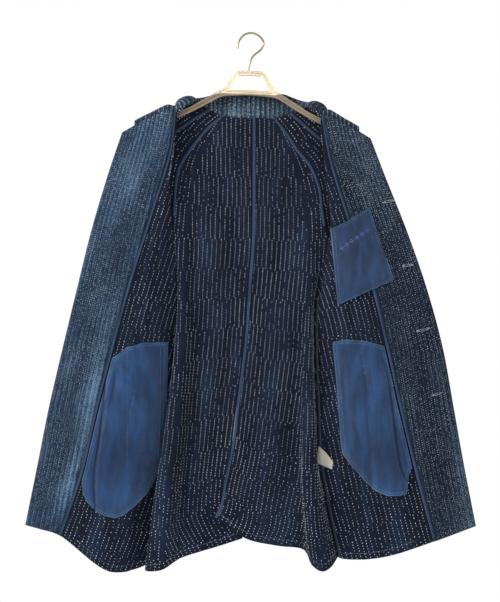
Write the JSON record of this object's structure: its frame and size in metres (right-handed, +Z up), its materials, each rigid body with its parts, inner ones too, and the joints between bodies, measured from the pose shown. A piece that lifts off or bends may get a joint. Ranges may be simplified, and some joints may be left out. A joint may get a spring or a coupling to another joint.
{
  "type": "patched boro jacket on a hanger",
  "caption": "long raglan work jacket of running-stitched indigo cloth, unlined, hung open on a clear hanger with the inside of its back, fronts and pocket bags showing",
  "frame": {"origin": "inner top of the hanger's hook, where a rail carries it", "axes": "+X to the right when the open jacket is seen from its inside, +Y from the viewer towards the jacket's outside, +Z up"},
  "size_m": [0.8307, 0.0723, 0.997],
  "materials": {
    "sashiko_cloth": "dark indigo cloth with rows of undyed running stitches",
    "worn_cloth": "right side of the same cloth, faded and worn to light blue",
    "binding_tape": "blue bias binding, folded over raw seam edges",
    "pocket_twill": "blue cotton twill",
    "label_tape": "cream woven tape, bare",
    "button_horn": "dark dyed buttons",
    "hanger_clear": "clear moulded plastic",
    "hook_wire": "pale gold plated wire"
  },
  "bodies": {
    "root": {"back_left": "sashiko_cloth", "back_right": "sashiko_cloth", "binding_centre_back": "binding_tape", "binding_facing_left": "binding_tape", "binding_facing_right": "binding_tape", "binding_overarm_left": "binding_tape", "binding_overarm_right": "binding_tape", "binding_raglan_left": "binding_tape", "binding_raglan_right": "binding_tape", "binding_side_left": "binding_tape", "binding_side_right": "binding_tape", "button_1": "button_horn", "button_2": "button_horn", "button_3": "button_horn", "button_4": "button_horn", "care_label": "label_tape", "chest_pocket": "pocket_twill", "collar": "sashiko_cloth", "facing_left": "worn_cloth", "facing_right": "worn_cloth", "front_left": "sashiko_cloth", "front_right": "sashiko_cloth", "hanger_body": "hanger_clear", "hanger_hook": "hook_wire", "pocket_bag_left": "pocket_twill", "pocket_bag_right": "pocket_twill", "pocket_welt_left": "worn_cloth", "pocket_welt_right": "worn_cloth", "sleeve_back_left": "sashiko_cloth", "sleeve_back_right": "sashiko_cloth", "sleeve_front_left": "sashiko_cloth", "sleeve_front_right": "sashiko_cloth"}
  },
  "joints": []
}
